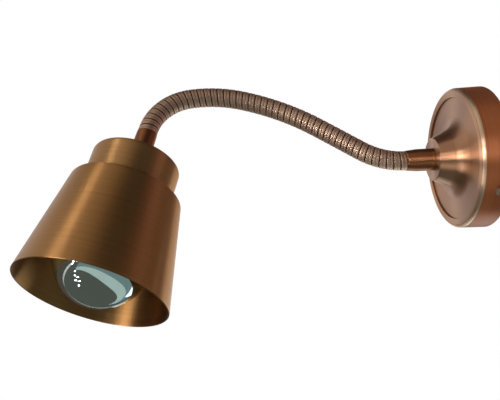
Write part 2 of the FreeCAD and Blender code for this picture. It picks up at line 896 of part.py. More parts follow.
head_core = head_top - cable_end
flange_top = size("shade_height") + size("flange_height")
insert_top = flange_top + size("holder_spigot") + size("insert_height")
for label, side in (("head_lead_live", 1), ("head_lead_neutral", -1)):
    lead(
        label,
        HEAD,
        [
            (side * core, 0, head_core),
            (side * core, 0, head_core - 2.4),
            (
                side * size("terminal_offset"), 0,
                insert_top + size("terminal_head") + size("head_lead_radius"),
            ),
        ],
        size("head_lead_radius"),
    )
ring_low = head_top - worth(HEAD_TAIL) + size("head_nipple_tail") - size("earth_tag")
ring_inner = size("nipple_radius") + size("thread_gap")
ring_middle = ring_inner + size("earth_ring_width") / 2
lead(
    "head_lead_earth",
    HEAD,
    [
        (0, -core, head_core),
        (0, -core, head_core - 2.7),
        (0, -ring_middle, head_core - 2.7),
        (0, -ring_middle, ring_low + size("earth_tag") / 2),
    ],
    size("head_lead_radius"),
    [eyelet(ring_inner, ring_inner + size("earth_ring_width"), size("earth_tag"), Vec(0, 0, ring_low))],
)

# ---------------------------------------------------------------- shade and cap

keep(
    turned(
        "shade",
        HEAD,
        [
            ("mouth_radius", "0"),
            ("shade_top_radius", "shade_height"),
            ("holder_radius + ring_gap", "shade_height"),
            ("holder_radius + ring_gap", "shade_height - shade_wall"),
            ("shade_top_radius - shade_wall", "shade_height - shade_wall"),
            ("mouth_radius - shade_wall", "0"),
        ],
        {1: "shade_round", 4: "shade_round - shade_wall"},
    ),
    "shade",
)
keep(
    turned(
        "shade_cap",
        HEAD,
        [
            ("cap_radius", "shade_height"),
            ("cap_radius", "shade_height + cap_height"),
            ("nipple_radius + hole_gap", "shade_height + cap_height"),
            ("nipple_radius + hole_gap", "shade_height + cap_height - cap_wall"),
            ("cap_radius - cap_wall", "shade_height + cap_height - cap_wall"),
            ("cap_radius - cap_wall", "shade_height"),
        ],
        {1: "cap_round", 4: "cap_round - cap_wall"},
    ),
    "shade_cap",
)

# ---------------------------------------------------------------- lampholder

FLANGE_TOP = "shade_height + flange_height"
SPIGOT_TOP = "shade_height + flange_height + holder_spigot"
keep(
    turned(
        "holder_body",
        HEAD,
        [
            ("holder_bore", "shade_height - holder_below"),
            ("holder_radius", "shade_height - holder_below"),
            ("holder_radius", "shade_height"),
            ("flange_radius", "shade_height"),
            ("flange_radius", FLANGE_TOP),
            ("holder_spigot_radius", FLANGE_TOP),
            ("holder_spigot_radius", SPIGOT_TOP),
            ("holder_bore", SPIGOT_TOP),
        ],
    ),
    "holder_body",
)
keep(
    turned(
        "shade_ring",
        HEAD,
        [
            ("holder_radius + ring_gap", "shade_height - shade_wall - ring_height"),
            ("ring_radius", "shade_height - shade_wall - ring_height"),
            ("ring_radius", "shade_height - shade_wall"),
            ("holder_radius + ring_gap", "shade_height - shade_wall"),
        ],
    ),
    "shade_ring",
)
BUSH_TOP = "shade_height + cap_height - cap_wall - washer_sheet - nut_height - dome_gap"
DOME_TOP = "%s - bush_height + dome_wall" % BUSH_TOP
keep(
    turned(
        "holder_dome",
        HEAD,
        [
            ("holder_radius", FLANGE_TOP),
            ("holder_radius", DOME_TOP),
            ("bush_radius", DOME_TOP),
            ("bush_radius", BUSH_TOP),
            ("nipple_radius + thread_gap", BUSH_TOP),
            ("nipple_radius + thread_gap", "%s - dome_wall" % DOME_TOP),
            ("holder_radius - dome_wall", "%s - dome_wall" % DOME_TOP),
            ("holder_radius - dome_wall", FLANGE_TOP),
        ],
        {1: "dome_round", 6: "dome_round - dome_wall"},
    ),
    "holder_dome",
)
insert_blank = cylinder(HEAD, "holder_spigot_radius", "insert_height", SPIGOT_TOP)
terminal_holes = [
    cylinder(HEAD, "terminal_radius + thread_gap", "insert_height", SPIGOT_TOP,
             "%s * terminal_offset" % side)
    for side in ("-1", "1")
]
keep(cut(insert_blank, terminal_holes), "holder_insert")
INSERT_TOP = "%s + insert_height" % SPIGOT_TOP
keep(
    group(
        [
            fused(
                [
                    cylinder(HEAD, "terminal_radius", "insert_height - terminal_inset",
                             "%s + terminal_inset" % SPIGOT_TOP, "%s * terminal_offset" % side),
                    cylinder(HEAD, "terminal_head_radius", "terminal_head", INSERT_TOP,
                             "%s * terminal_offset" % side),
                ]
            )
            for side in ("-1", "1")
        ]
    ),
    "contact_screws",
)
BOSS_LOW = "%s - strip_sheet - strip_boss" % SPIGOT_TOP
SHELL_OUTSIDE = "base_crest_radius + shell_play + thread_depth + shell_sheet"
keep(
    fused(
        [
            block(HEAD, "terminal_offset + strip_width", "strip_width", "strip_sheet",
                  "terminal_offset / 2", "0", "%s - strip_sheet" % SPIGOT_TOP),
            cylinder(HEAD, "strip_width / 2", "strip_boss + strip_sheet", BOSS_LOW),
        ]
    ),
    "centre_contact",
)
keep(
    block(
        HEAD, "strip_sheet", "side_strip_width", "side_strip_length",
        "0 - (%s + thread_gap + strip_sheet / 2)" % SHELL_OUTSIDE, "0",
        "%s - side_strip_length" % SPIGOT_TOP,
    ),
    "side_contact",
)


def screw_shell(label, crest, sheet_name, low, waves, outward):
    """A rolled thread: a thin wall in even waves, its crests at one radius."""
    inner, outer = [], []
    for number in range(2 * waves + 1):
        at_crest = number % 2 == 1
        dip = "0" if at_crest == outward else "thread_depth"
        radius = "%s %s %s" % (crest, "-" if outward else "+", dip)
        height = "%s + %d * thread_pitch / 2" % (low, number)
        if outward:
            outer.append((radius, height))
            inner.append(("%s - %s" % (radius, sheet_name), height))
        else:
            inner.append((radius, height))
            outer.append(("%s + %s" % (radius, sheet_name), height))
    return keep(turned(label, HEAD, outer + inner[::-1]), label)


# The bulb seats on the centre contact, so its place comes from there and its crown from its length.
BUTTON_TOP = "%s - contact_gap" % BOSS_LOW
BASE_LOW = "%s - base_button - base_insulator - thread_waves * thread_pitch" % BUTTON_TOP
BULB_MIDDLE = "(%s - bulb_length + bulb_radius)" % BUTTON_TOP
waves = int(size("thread_waves"))
screw_shell("holder_shell", "base_crest_radius + shell_play", "shell_sheet", BASE_LOW, waves, False)

# ---------------------------------------------------------------- bulb

screw_shell("bulb_base_shell", "base_crest_radius", "base_sheet", BASE_LOW, waves, True)


def ball(radius):
    made = doc.addObject("Part::Sphere", "ball")
    bind(made, Radius=radius)
    return put(made, HEAD, "0", "0", BULB_MIDDLE)


NECK_TOP = "%s + thread_pitch" % BASE_LOW
glass_outside = fused(
    [
        ball("bulb_radius"),
        cylinder(HEAD, "bulb_neck_radius", "%s - %s" % (NECK_TOP, BULB_MIDDLE), BULB_MIDDLE),
    ]
)
glass_inside = fused(
    [
        ball("bulb_radius - bulb_glass_wall"),
        cylinder(HEAD, "bulb_neck_radius - bulb_glass_wall",
                 "%s - bulb_glass_wall - %s" % (NECK_TOP, BULB_MIDDLE), BULB_MIDDLE),
    ]
)
glass = doc.addObject("Part::Cut", "glass")
glass.Base = glass_outside
glass.Tool = glass_inside
keep(glass, "bulb_glass")
MIRROR = "bulb_radius - bulb_glass_wall - bulb_mirror_gap"
coat = cut(
    ball(MIRROR),
    [
        ball("%s - bulb_mirror_sheet" % MIRROR),
        cylinder(HEAD, "2 * bulb_radius", "2 * bulb_radius", "%s - bulb_mirror_rim" % BULB_MIDDLE),
    ],
)
keep(coat, "bulb_mirror")
STEM_TOP = "%s - bulb_glass_wall - stem_gap" % NECK_TOP
keep(
    turned(
        "bulb_stem",
        HEAD,
        [
            ("0", "%s - stem_length" % STEM_TOP),
            ("stem_radius / 2", "%s - stem_length" % STEM_TOP),
            ("stem_radius / 2", "%s - stem_length / 2" % STEM_TOP),
            ("stem_radius", "%s - stem_length / 3" % STEM_TOP),
            ("2 * stem_radius", STEM_TOP),
            ("0", STEM_TOP),
        ],
    ),
    "bulb_stem",
)
ring = doc.addObject("Part::Torus", "ring")
bind(ring, Radius1="filament_ring_radius", Radius2="filament_radius")
FILAMENT = "%s - filament_drop" % STEM_TOP
filament = put(ring, HEAD, "0", "0", FILAMENT)
across_head = HEAD * FreeCAD.Placement(Vec(0, 0, 0), FreeCAD.Rotation(Vec(0, 1, 0), 90))
SPOKE_START = "stem_radius / 2 + stem_gap"


def spoke(low):
    """A wire from the stem to the ring, on one side."""
    made = doc.addObject("Part::Cylinder", "spoke")
    bind(made, Radius="filament_radius / 2", Height="filament_ring_radius - (%s)" % SPOKE_START)
    return put(made, across_head, "0 - (%s)" % FILAMENT, "0", low)


spokes = [spoke(SPOKE_START), spoke("0 - filament_ring_radius")]
keep(fused([filament] + spokes), "bulb_filament")
keep(
    turned(
        "bulb_insulator",
        HEAD,
        [
            ("0", "%s - base_button - base_insulator" % BUTTON_TOP),
            ("base_crest_radius - thread_depth", "%s - base_button - base_insulator" % BUTTON_TOP),
            ("base_button_radius + insulator_rim", "%s - base_button" % BUTTON_TOP),
            ("0", "%s - base_button" % BUTTON_TOP),
        ],
    ),
    "bulb_insulator",
)
keep(
    turned(
        "bulb_contact",
        HEAD,
        [
            ("0", "%s - base_button" % BUTTON_TOP),
            ("base_button_radius", "%s - base_button" % BUTTON_TOP),
            ("base_button_crown", BUTTON_TOP),
            ("0", BUTTON_TOP),
        ],
    ),
    "bulb_contact",
)

# ---------------------------------------------------------------- check and write

doc.recompute()
for thing in doc.Objects:
    if "Invalid" in thing.State or "Error" in thing.State:
        raise RuntimeError("%s (%s) could not be made: %s" % (thing.Name, thing.Label, thing.State))
os.makedirs("parts", exist_ok=True)
for node in nodes:
    shape = node.Shape
    if shape.isNull() or not shape.isValid() or not shape.Solids:
        raise RuntimeError("%s has no valid solid" % node.Label)
    shape.exportStep("parts/%s.step" % node.Label)
print("%d sub-parts written" % len(nodes))
print("mouth at %s, head tilt %.2f" % (mouth, head_tilt))
print("hinges at " + "; ".join(
    "(%.3f, %.3f) heading %.2f" % (-along(s)[0].y, along(s)[0].z, math.degrees(along(s)[1]))
    for s in stops[1:-1]
))
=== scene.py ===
import json
import math

import bmesh
import bpy
from mathutils import Matrix, Quaternion, Vector


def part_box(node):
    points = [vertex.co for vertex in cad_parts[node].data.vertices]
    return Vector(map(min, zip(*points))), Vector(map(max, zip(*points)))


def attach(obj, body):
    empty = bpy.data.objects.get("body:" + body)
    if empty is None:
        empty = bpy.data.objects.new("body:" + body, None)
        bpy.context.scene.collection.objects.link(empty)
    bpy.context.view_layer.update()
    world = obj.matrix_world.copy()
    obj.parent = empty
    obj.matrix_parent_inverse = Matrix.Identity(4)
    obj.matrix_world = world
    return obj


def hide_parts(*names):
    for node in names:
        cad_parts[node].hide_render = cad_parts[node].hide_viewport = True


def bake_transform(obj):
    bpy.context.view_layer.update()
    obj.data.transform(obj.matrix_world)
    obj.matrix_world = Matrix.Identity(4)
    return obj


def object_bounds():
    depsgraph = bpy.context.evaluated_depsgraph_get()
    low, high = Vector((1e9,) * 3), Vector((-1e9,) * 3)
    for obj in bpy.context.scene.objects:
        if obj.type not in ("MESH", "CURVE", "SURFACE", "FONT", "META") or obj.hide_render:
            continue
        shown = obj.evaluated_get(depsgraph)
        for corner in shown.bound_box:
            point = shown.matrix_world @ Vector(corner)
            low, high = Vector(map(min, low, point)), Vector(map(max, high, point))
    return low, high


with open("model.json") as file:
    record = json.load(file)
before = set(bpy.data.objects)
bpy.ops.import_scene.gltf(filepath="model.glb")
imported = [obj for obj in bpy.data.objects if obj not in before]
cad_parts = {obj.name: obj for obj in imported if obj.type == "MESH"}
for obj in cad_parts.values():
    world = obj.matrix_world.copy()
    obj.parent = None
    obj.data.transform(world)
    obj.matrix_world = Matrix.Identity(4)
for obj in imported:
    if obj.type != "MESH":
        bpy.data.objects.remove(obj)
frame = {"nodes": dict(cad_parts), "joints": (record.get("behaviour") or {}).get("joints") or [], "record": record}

cad_low, cad_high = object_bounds()

# ---------------------------------------------------------------- camera
# The picture is taken from below and beside the lamp, with the wall on the right. The camera looks
# up past the shade's mouth and leans a little, so that the canopy's face turns towards it.

CAMERA_PLACE = Vector((0.4085, -0.2234, -0.2471))
CAMERA_LOOKS = Vector((-0.8720, 0.1190, 0.4750))
CAMERA_ROLL = math.radians(-6.88)
CAMERA_LENS = 50.4
CAMERA_SENSOR = 36.0
CAMERA_NEAREST = 0.01

camera = bpy.data.objects.new("camera", bpy.data.cameras.new("camera"))
bpy.context.scene.collection.objects.link(camera)
camera.data.lens = CAMERA_LENS
camera.data.sensor_width = CAMERA_SENSOR
camera.data.clip_start = CAMERA_NEAREST
camera.rotation_mode = "QUATERNION"
camera.location = CAMERA_PLACE
camera.rotation_quaternion = CAMERA_LOOKS.to_track_quat("-Z", "Y") @ Quaternion((0, 0, 1), CAMERA_ROLL)
bpy.context.scene.camera = camera
bpy.context.scene.view_settings.view_transform = "Standard"

# ---------------------------------------------------------------- studio
# A pale floor well below the lamp, a white surround and soft lamps. Screens that only polished
# surfaces meet give the metal and the silvered bulb something dark and something warm to show.

FLOOR_DROP = 0.30
FLOOR_HALF = 3.0
FLOOR_PALE = (0.82, 0.81, 0.79)
FLOOR_ROUGHNESS = 0.9
AMBIENT = 0.55
SHOWN_WHITE = 1.0
lamp_middle = (cad_low + cad_high) / 2


def node_tree(owner):
    """The empty node tree of a material or world, with a function that adds a node."""
    owner.use_nodes = True
    tree = owner.node_tree
    tree.nodes.clear()

    def add(kind, **settings):
        node = tree.nodes.new(kind)
        for key, value in settings.items():
            if hasattr(node, key):
                setattr(node, key, value)
            else:
                node.inputs[key.replace("_", " ")].default_value = value
        return node

    return tree, add


def white_surround():
    """A world that lights plainly, and is white to the camera, to mirrors and through glass."""
    world = bpy.data.worlds.new("white_surround")
    bpy.context.scene.world = world
    tree, add = node_tree(world)
    path = add("ShaderNodeLightPath")
    seen = add("ShaderNodeMath", operation="MAXIMUM")
    shown = add("ShaderNodeMath", operation="MAXIMUM")
    level = add("ShaderNodeMapRange")
    level.inputs["To Min"].default_value = AMBIENT
    level.inputs["To Max"].default_value = SHOWN_WHITE
    back = add("ShaderNodeBackground")
    back.inputs["Color"].default_value = (1, 1, 1, 1)
    out = add("ShaderNodeOutputWorld")
    tree.links.new(path.outputs["Is Camera Ray"], seen.inputs[0])
    tree.links.new(path.outputs["Is Glossy Ray"], seen.inputs[1])
    tree.links.new(seen.outputs[0], shown.inputs[0])
    tree.links.new(path.outputs["Is Transmission Ray"], shown.inputs[1])
    tree.links.new(shown.outputs[0], level.inputs["Value"])
    tree.links.new(level.outputs[0], back.inputs["Strength"])
    tree.links.new(back.outputs[0], out.inputs["Surface"])


white_surround()


def stage_piece(name, place, corners, faces):
    """A piece of the studio, which isn't part of the lamp."""
    mesh = bpy.data.meshes.new(name)
    mesh.from_pydata([tuple(corner) for corner in corners], [], faces)
    piece = bpy.data.objects.new(name, mesh)
    bpy.context.scene.collection.objects.link(piece)
    piece.location = place
    return piece


def flat_square(half):
    """The corners and the one face of a level square."""
    corners = [(-half, -half, 0), (half, -half, 0), (half, half, 0), (-half, half, 0)]
    return corners, [(0, 1, 2, 3)]


def floor_material():
    """Matt, pale board."""
    material = bpy.data.materials.new("pale_floor")
    tree, add = node_tree(material)
    shader = add("ShaderNodeBsdfPrincipled", Roughness=FLOOR_ROUGHNESS)
    shader.inputs["Base Color"].default_value = (*FLOOR_PALE, 1)
    out = add("ShaderNodeOutputMaterial")
    tree.links.new(shader.outputs[0], out.inputs["Surface"])
    return material


floor_level = cad_low.z - FLOOR_DROP
floor = stage_piece("floor", (0, lamp_middle.y, floor_level), *flat_square(FLOOR_HALF))
floor.data.materials.append(floor_material())


def only_reflected(piece):
    """Hides a screen from everything but reflections, and what is seen through glass."""
    piece.visible_camera = False
    piece.visible_diffuse = False
    piece.visible_shadow = False


def glow(name, colour):
    """A surface that shines evenly in one colour."""
    material = bpy.data.materials.new(name)
    tree, add = node_tree(material)
    shine = add("ShaderNodeEmission")
    shine.inputs["Color"].default_value = (*colour, 1)
    out = add("ShaderNodeOutputMaterial")
    tree.links.new(shine.outputs[0], out.inputs["Surface"])
    return material


def fill_ramp(ramp, tones):
    """Gives a colour ramp its stops, from places and colours in rising order."""
    stops = ramp.color_ramp.elements
    for number, (at, colour) in enumerate(tones):
        stop = stops[number] if number < len(stops) else stops.new(at)
        stop.position = at
        stop.color = (*colour, 1)


def banded_glow(name, bands):
    """A glow whose colour runs through bands of compass angle about the piece's own middle."""
    first, last = bands[0][0], bands[-1][0]
    material = bpy.data.materials.new(name)
    tree, add = node_tree(material)
    link = tree.links.new
    where = add("ShaderNodeTexCoord")
    split = add("ShaderNodeSeparateXYZ")
    link(where.outputs["Object"], split.inputs[0])
    angle = add("ShaderNodeMath", operation="ARCTAN2")
    link(split.outputs["Y"], angle.inputs[0])
    link(split.outputs["X"], angle.inputs[1])
    share = add("ShaderNodeMapRange")
    share.inputs["From Min"].default_value = math.radians(first)
    share.inputs["From Max"].default_value = math.radians(last)
    link(angle.outputs[0], share.inputs["Value"])
    ramp = add("ShaderNodeValToRGB")
    fill_ramp(ramp, [((degrees - first) / (last - first), colour) for degrees, colour in bands])
    link(share.outputs[0], ramp.inputs[0])
    shine = add("ShaderNodeEmission")
    link(ramp.outputs["Color"], shine.inputs["Color"])
    out = add("ShaderNodeOutputMaterial")
    link(shine.outputs[0], out.inputs["Surface"])
    return material


# the bright window side, the dark room, and the pinkish wall with one narrow bright gap in it
SCREEN_REACH = 1.6
SCREEN_BANDS = [
    (-60, (1.0, 0.98, 0.94)),
    (-30, (1.0, 0.96, 0.90)),
    (-6, (0.50, 0.44, 0.38)),
    (14, (0.06, 0.05, 0.055)),
    (56, (0.04, 0.033, 0.035)),
    (68, (0.60, 0.33, 0.36)),
    (80, (0.50, 0.28, 0.30)),
    (88, (0.22, 0.12, 0.13)),
    (97, (0.30, 0.17, 0.18)),
    (100, (1.0, 0.86, 0.84)),
    (104, (1.0, 0.86, 0.84)),
    (108, (0.28, 0.16, 0.16)),
    (130, (0.40, 0.25, 0.25)),
    (158, (0.80, 0.58, 0.58)),
]
SIDE_ARC = (SCREEN_BANDS[0][0], SCREEN_BANDS[-1][0])
SIDE_RISE = (-0.12, 2.3)
LOW_ARC = (-176, -61)
LOW_RISE = (-0.30, 0.42)


def curved_screen(name, arc_between, rise_between, shine):
    """A screen bent round the lamp between two compass angles, a degree to each of its faces."""
    first, last = arc_between
    corners, faces = [], []
    for i in range(last - first + 1):
        angle = math.radians(first + i)
        for height in rise_between:
            corners.append((SCREEN_REACH * math.cos(angle), SCREEN_REACH * math.sin(angle), height))
    for i in range(last - first):
        faces.append((2 * i, 2 * i + 2, 2 * i + 3, 2 * i + 1))
    screen = stage_piece(name, lamp_middle, corners, faces)
    only_reflected(screen)
    screen.data.materials.append(shine)


curved_screen("side_screen", SIDE_ARC, SIDE_RISE, banded_glow("side_glow", SCREEN_BANDS))
curved_screen("low_screen", LOW_ARC, LOW_RISE, glow("low_screen_brown", (0.10, 0.08, 0.065)))

# level cards above the lamp and just over the floor
CEILING_HEIGHT = 1.35
CEILING_HALF = 0.95
GROUND_HALF = 1.45
SCREEN_GAP = 0.02
over_lamp = lamp_middle + Vector((0, 0, CEILING_HEIGHT))
ceiling_card = stage_piece("ceiling_card", over_lamp, *flat_square(CEILING_HALF))
ceiling_card.data.materials.append(glow("ceiling_dark", (0.10, 0.085, 0.075)))
only_reflected(ceiling_card)
over_floor = (0, lamp_middle.y, floor_level + SCREEN_GAP)
ground_card = stage_piece("ground_card", over_floor, *flat_square(GROUND_HALF))
ground_card.data.materials.append(glow("ground_grey_green", (0.11, 0.11, 0.098)))
only_reflected(ground_card)

# a pale strip of ground and a bright opening, for the silvered bulb to look down on
STRIP_MIDDLE = Vector((-0.22, -0.63, floor_level + 2 * SCREEN_GAP))
STRIP_NEAR = 0.48
STRIP_FAR = 0.60
STRIP_OUTER = 0.95
STRIP_FROM = -25
STRIP_TO = 130
STRIP_STEPS = 31
strip_corners = []
for i in range(STRIP_STEPS + 1):
    turned_by = math.radians(STRIP_FROM + (STRIP_TO - STRIP_FROM) * i / STRIP_STEPS)
    ahead = Vector((math.cos(turned_by), math.sin(turned_by), 0))
    strip_corners += [ahead * STRIP_NEAR, ahead * STRIP_FAR, ahead * STRIP_OUTER]
strip_faces = [(3 * i, 3 * i + 1, 3 * i + 4, 3 * i + 3) for i in range(STRIP_STEPS)]
strip_faces += [(3 * i + 1, 3 * i + 2, 3 * i + 5, 3 * i + 4) for i in range(STRIP_STEPS)]
pale_strip = stage_piece("pale_strip", STRIP_MIDDLE, strip_corners, strip_faces)
pale_strip.data.materials.append(glow("pale_strip_glow", (0.52, 0.60, 0.58)))
pale_strip.data.materials.append(glow("outer_strip_glow", (0.20, 0.27, 0.28)))
for face in pale_strip.data.polygons[STRIP_STEPS:]:
    face.material_index = 1
only_reflected(pale_strip)

OPENING_PLACE = (-0.33, 0.06, floor_level + 3 * SCREEN_GAP)
OPENING_HALF_WIDE = 0.17
OPENING_HIGH = 0.24
OPENING_FACES = math.radians(-43)
across = Vector((math.cos(OPENING_FACES), math.sin(OPENING_FACES), 0)).cross(Vector((0, 0, 1)))
opening_corners = [across * -OPENING_HALF_WIDE, across * OPENING_HALF_WIDE]
opening_corners += [corner + Vector((0, 0, OPENING_HIGH)) for corner in reversed(opening_corners)]
bright_opening = stage_piece("bright_opening", OPENING_PLACE, opening_corners, [(0, 1, 2, 3)])
bright_opening.data.materials.append(glow("bright_opening_glow", (2.2, 2.5, 2.5)))
only_reflected(bright_opening)


def hang_lamp(lamp, target):
    """Puts a lamp into the scene and points it at a place."""
    bpy.context.scene.collection.objects.link(lamp)
    lamp.rotation_mode = "QUATERNION"
    lamp.rotation_quaternion = (target - lamp.location).to_track_quat("-Z", "Y")


def soft_lamp(name, place, wide, power):
    """A square lamp that points at the middle of the part."""
    light = bpy.data.lights.new(name, "AREA")
    light.shape = "SQUARE"
    light.size = wide
    light.energy = power
    lamp = bpy.data.objects.new(name, light)
    lamp.location = place
    hang_lamp(lamp, lamp_middle)
    return lamp


def direction(compass, height):
    """The direction of a place seen at a compass angle and a height, both in degrees."""
    around, up = math.radians(compass), math.radians(height)
    return Vector((math.cos(around) * math.cos(up), math.sin(around) * math.cos(up), math.sin(up)))


# two wide lamps that give the plain light, and stay out of the polished surfaces
SOFT_WIDE = 1.2
SOFT_LAMPS = [("lamp_left", (0.9, -1.6, 0.7), 14.0), ("lamp_above", (-0.6, -0.6, 1.6), 10.0)]
for name, place, power in SOFT_LAMPS:
    soft_lamp(name, place, SOFT_WIDE, power).visible_glossy = False

# a cluster of small lamps low in front of the canopy, for the glints on the spun metal
GLINT_REACH = 1.5
GLINT_WIDE = 0.10
GLINT_POWER = 0.65
GLINTS = [(-56, -12), (-61, -17), (-66, -10), (-62, -23), (-71, -15)]
for number, seen_at in enumerate(GLINTS):
    place = lamp_middle + direction(*seen_at) * GLINT_REACH
    soft_lamp("glint_%d" % (number + 1), place, GLINT_WIDE, GLINT_POWER)

# a few little lamps below the mouth, for the inside of the shade and the bulb
MOUTH_REACH = 0.38
MOUTH_WIDE = 0.016
MOUTH_POWER = 0.14
MOUTH_LAMPS = [(-70, -24), (-79, -29), (-74, -36), (-88, -35), (-82, -43), (-98, -43)]
MOUTH_MIDDLE = Vector((0, -0.27, -0.09))
for number, seen_at in enumerate(MOUTH_LAMPS):
    place = MOUTH_MIDDLE + direction(*seen_at) * MOUTH_REACH
    soft_lamp("mouth_lamp_%d" % (number + 1), place, MOUTH_WIDE, MOUTH_POWER)

# narrow spots on the canopy alone, spread so that its cone shows a fan of streaks
FAN_REACH = 1.5
FAN_ANGLE = math.radians(8)
FAN_SOFT_EDGE = 0.6
FAN_BULB = 0.04
FAN_POWER = 22.0
FAN_SPOTS = [(-57, 0, 0.6), (-60, -8, 1.0), (-61, -15, 1.6), (-62, -22, 1.2), (-64, -31, 0.7)]
CANOPY_MIDDLE = Vector((0, -0.03, 0))
for number, (compass, height, share) in enumerate(FAN_SPOTS):
    light = bpy.data.lights.new("fan_%d" % (number + 1), "SPOT")
    light.energy = FAN_POWER * share
    light.spot_size = FAN_ANGLE
    light.spot_blend = FAN_SOFT_EDGE
    light.shadow_soft_size = FAN_BULB
    spot = bpy.data.objects.new(light.name, light)
    spot.location = CANOPY_MIDDLE + direction(compass, height) * FAN_REACH
    hang_lamp(spot, CANOPY_MIDDLE)

# ---------------------------------------------------------------- canopy
# The canopy is two spun copper-plated pressings: a shallow drum whose front edge is rolled in to a
# lip, and behind the lip a disc that sweeps up into a cone. Both are brushed on the lathe.

WALL_TO_ROOM = Matrix.Rotation(math.radians(90), 4, "X")
CANOPY_RADIUS = cad_high.x
CANOPY_DEPTH = 0.020
DRUM_TAPER = 0.0007
CANOPY_FRONT_RADIUS = CANOPY_RADIUS - DRUM_TAPER
CANOPY_SHEET = 0.0012
LIP_RADIUS = 0.0430
CONE_DISC_RADIUS = 0.0476
CONE_COLLAR_RADIUS = 0.0150
CONE_STAND = 0.0147
CONE_SLOPE = math.tan(math.radians(25))
CONE_SWEEP = 0.0128
CONE_TOP_SHEET = 0.0020
CONE_SMOOTH = math.radians(2.5)
TUBE_HOLE = 0.00515
CUT_EDGE = 0.0003
LIP_EDGE = 0.0005
DRUM_FRONT_ROUND = 0.0026
COLLAR_ROUND = 0.0006


def rounded(corners, smooth=math.radians(7)):
    """An outline's corners, (radius, height, rounding), as points with each rounded corner an arc."""
    points = []
    for number, (x, z, rounding) in enumerate(corners):
        corner = Vector((x, z))
        before = Vector(corners[number - 1][:2]) - corner
        after = Vector(corners[(number + 1) % len(corners)][:2]) - corner
        if rounding <= 0:
            points.append(corner)
            continue
        opening = before.angle(after)
        back = rounding / math.tan(opening / 2)
        start, end = corner + before.normalized() * back, corner + after.normalized() * back
        middle = corner + (before.normalized() + after.normalized()).normalized() * (
            rounding / math.sin(opening / 2)
        )
        turn = math.pi - opening
        steps = max(2, math.ceil(turn / smooth))
        first, last = start - middle, end - middle
        for i in range(steps + 1):
            share = i / steps
            a = math.sin((1 - share) * turn) / math.sin(turn)
            b = math.sin(share * turn) / math.sin(turn)
            points.append(middle + first * a + last * b)
    return points


ON_AXIS = 1e-7
CREASE = math.radians(32)


def turned(name, points, place, around=192):
    """A closed outline turned about local Z. The object keeps its own frame, for its lathe marks."""
    angles = [2 * math.pi * i / around for i in range(around)]
    shape = bmesh.new()
    rings = []
    for radius, height in points:
        if radius < ON_AXIS:
            rings.append([shape.verts.new((0, 0, height))])
            continue
        ring = [(radius * math.cos(angle), radius * math.sin(angle), height) for angle in angles]
        rings.append([shape.verts.new(corner) for corner in ring])
    for one, two in zip(rings, rings[1:] + rings[:1]):
        for i in range(around):
            j = (i + 1) % around
            corners = [one[i % len(one)], one[j % len(one)], two[j % len(two)], two[i % len(two)]]
            corners = list(dict.fromkeys(corners))
            if len(corners) > 2:
                shape.faces.new(corners)
    bmesh.ops.recalc_face_normals(shape, faces=shape.faces)
    mesh = bpy.data.meshes.new(name)
    shape.to_mesh(mesh)
    shape.free()
    for face in mesh.polygons:
        face.use_smooth = True
    mesh.set_sharp_from_angle(angle=CREASE)
    piece = bpy.data.objects.new(name, mesh)
    bpy.context.scene.collection.objects.link(piece)
    piece.matrix_world = place
    return piece


# how often the rings come, and how far they move the tone, the roughness and the surface
RING_SPACING = (6, 6, 1100)
TONE_LOW = 0.72
TONE_HIGH = 1.28
RING_LOW = 0.3
RING_HIGH = 0.7
ROUGH_SHARE = 0.12
RING_BUMP = 0.06
FINE_RELIEF = 0.0001
ACROSS_RINGS = 0.25
LACQUER_ROUGHNESS = 0.22


